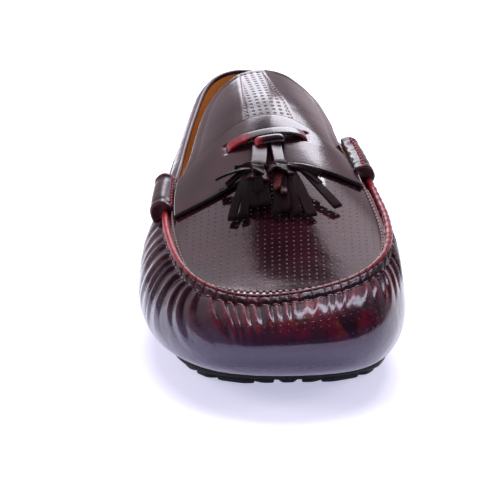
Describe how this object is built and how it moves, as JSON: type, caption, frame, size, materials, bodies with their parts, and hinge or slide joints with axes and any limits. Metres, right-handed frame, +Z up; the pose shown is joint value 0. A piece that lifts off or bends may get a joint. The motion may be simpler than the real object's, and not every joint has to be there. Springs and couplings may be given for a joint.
{
  "type": "tassel driving loafer",
  "caption": "Low slip-on shoe with a gathered toe seam, perforated apron and tongue, saddle strap with a bridge band and two tassels, on a thin lugged rubber sole.",
  "frame": {"origin": "centre of the bounding box in plan, on the floor under the lugs", "axes": "+Z up, -Y towards the toe, +X towards the inner side of the foot"},
  "size_m": [0.1039, 0.286, 0.0887],
  "materials": {
    "outsole": "matt black moulded rubber",
    "upper": "high-gloss dark burgundy leather, rubbed red at the folds",
    "insole": "tan leather sock",
    "apron": "high-gloss dark burgundy leather with rows of pinholes",
    "tongue": "high-gloss dark burgundy leather with a strip of pinholes",
    "strap": "high-gloss dark burgundy leather with rubbed red edges",
    "bridge_band": "high-gloss dark burgundy leather with rubbed red edges",
    "keeper": "high-gloss dark leather",
    "roll_outer": "high-gloss dark burgundy leather with red stitches",
    "roll_inner": "high-gloss dark burgundy leather with red stitches",
    "tassel_outer": "dull black-brown cut leather strips",
    "tassel_inner": "dull black-brown cut leather strips"
  },
  "bodies": {
    "root": {"outsole": "outsole", "upper": "upper", "insole": "insole", "apron": "apron", "tongue": "tongue", "strap": "strap", "bridge_band": "bridge_band", "keeper": "keeper", "roll_outer": "roll_outer", "roll_inner": "roll_inner", "tassel_outer": "tassel_outer", "tassel_inner": "tassel_inner"}
  },
  "joints": []
}
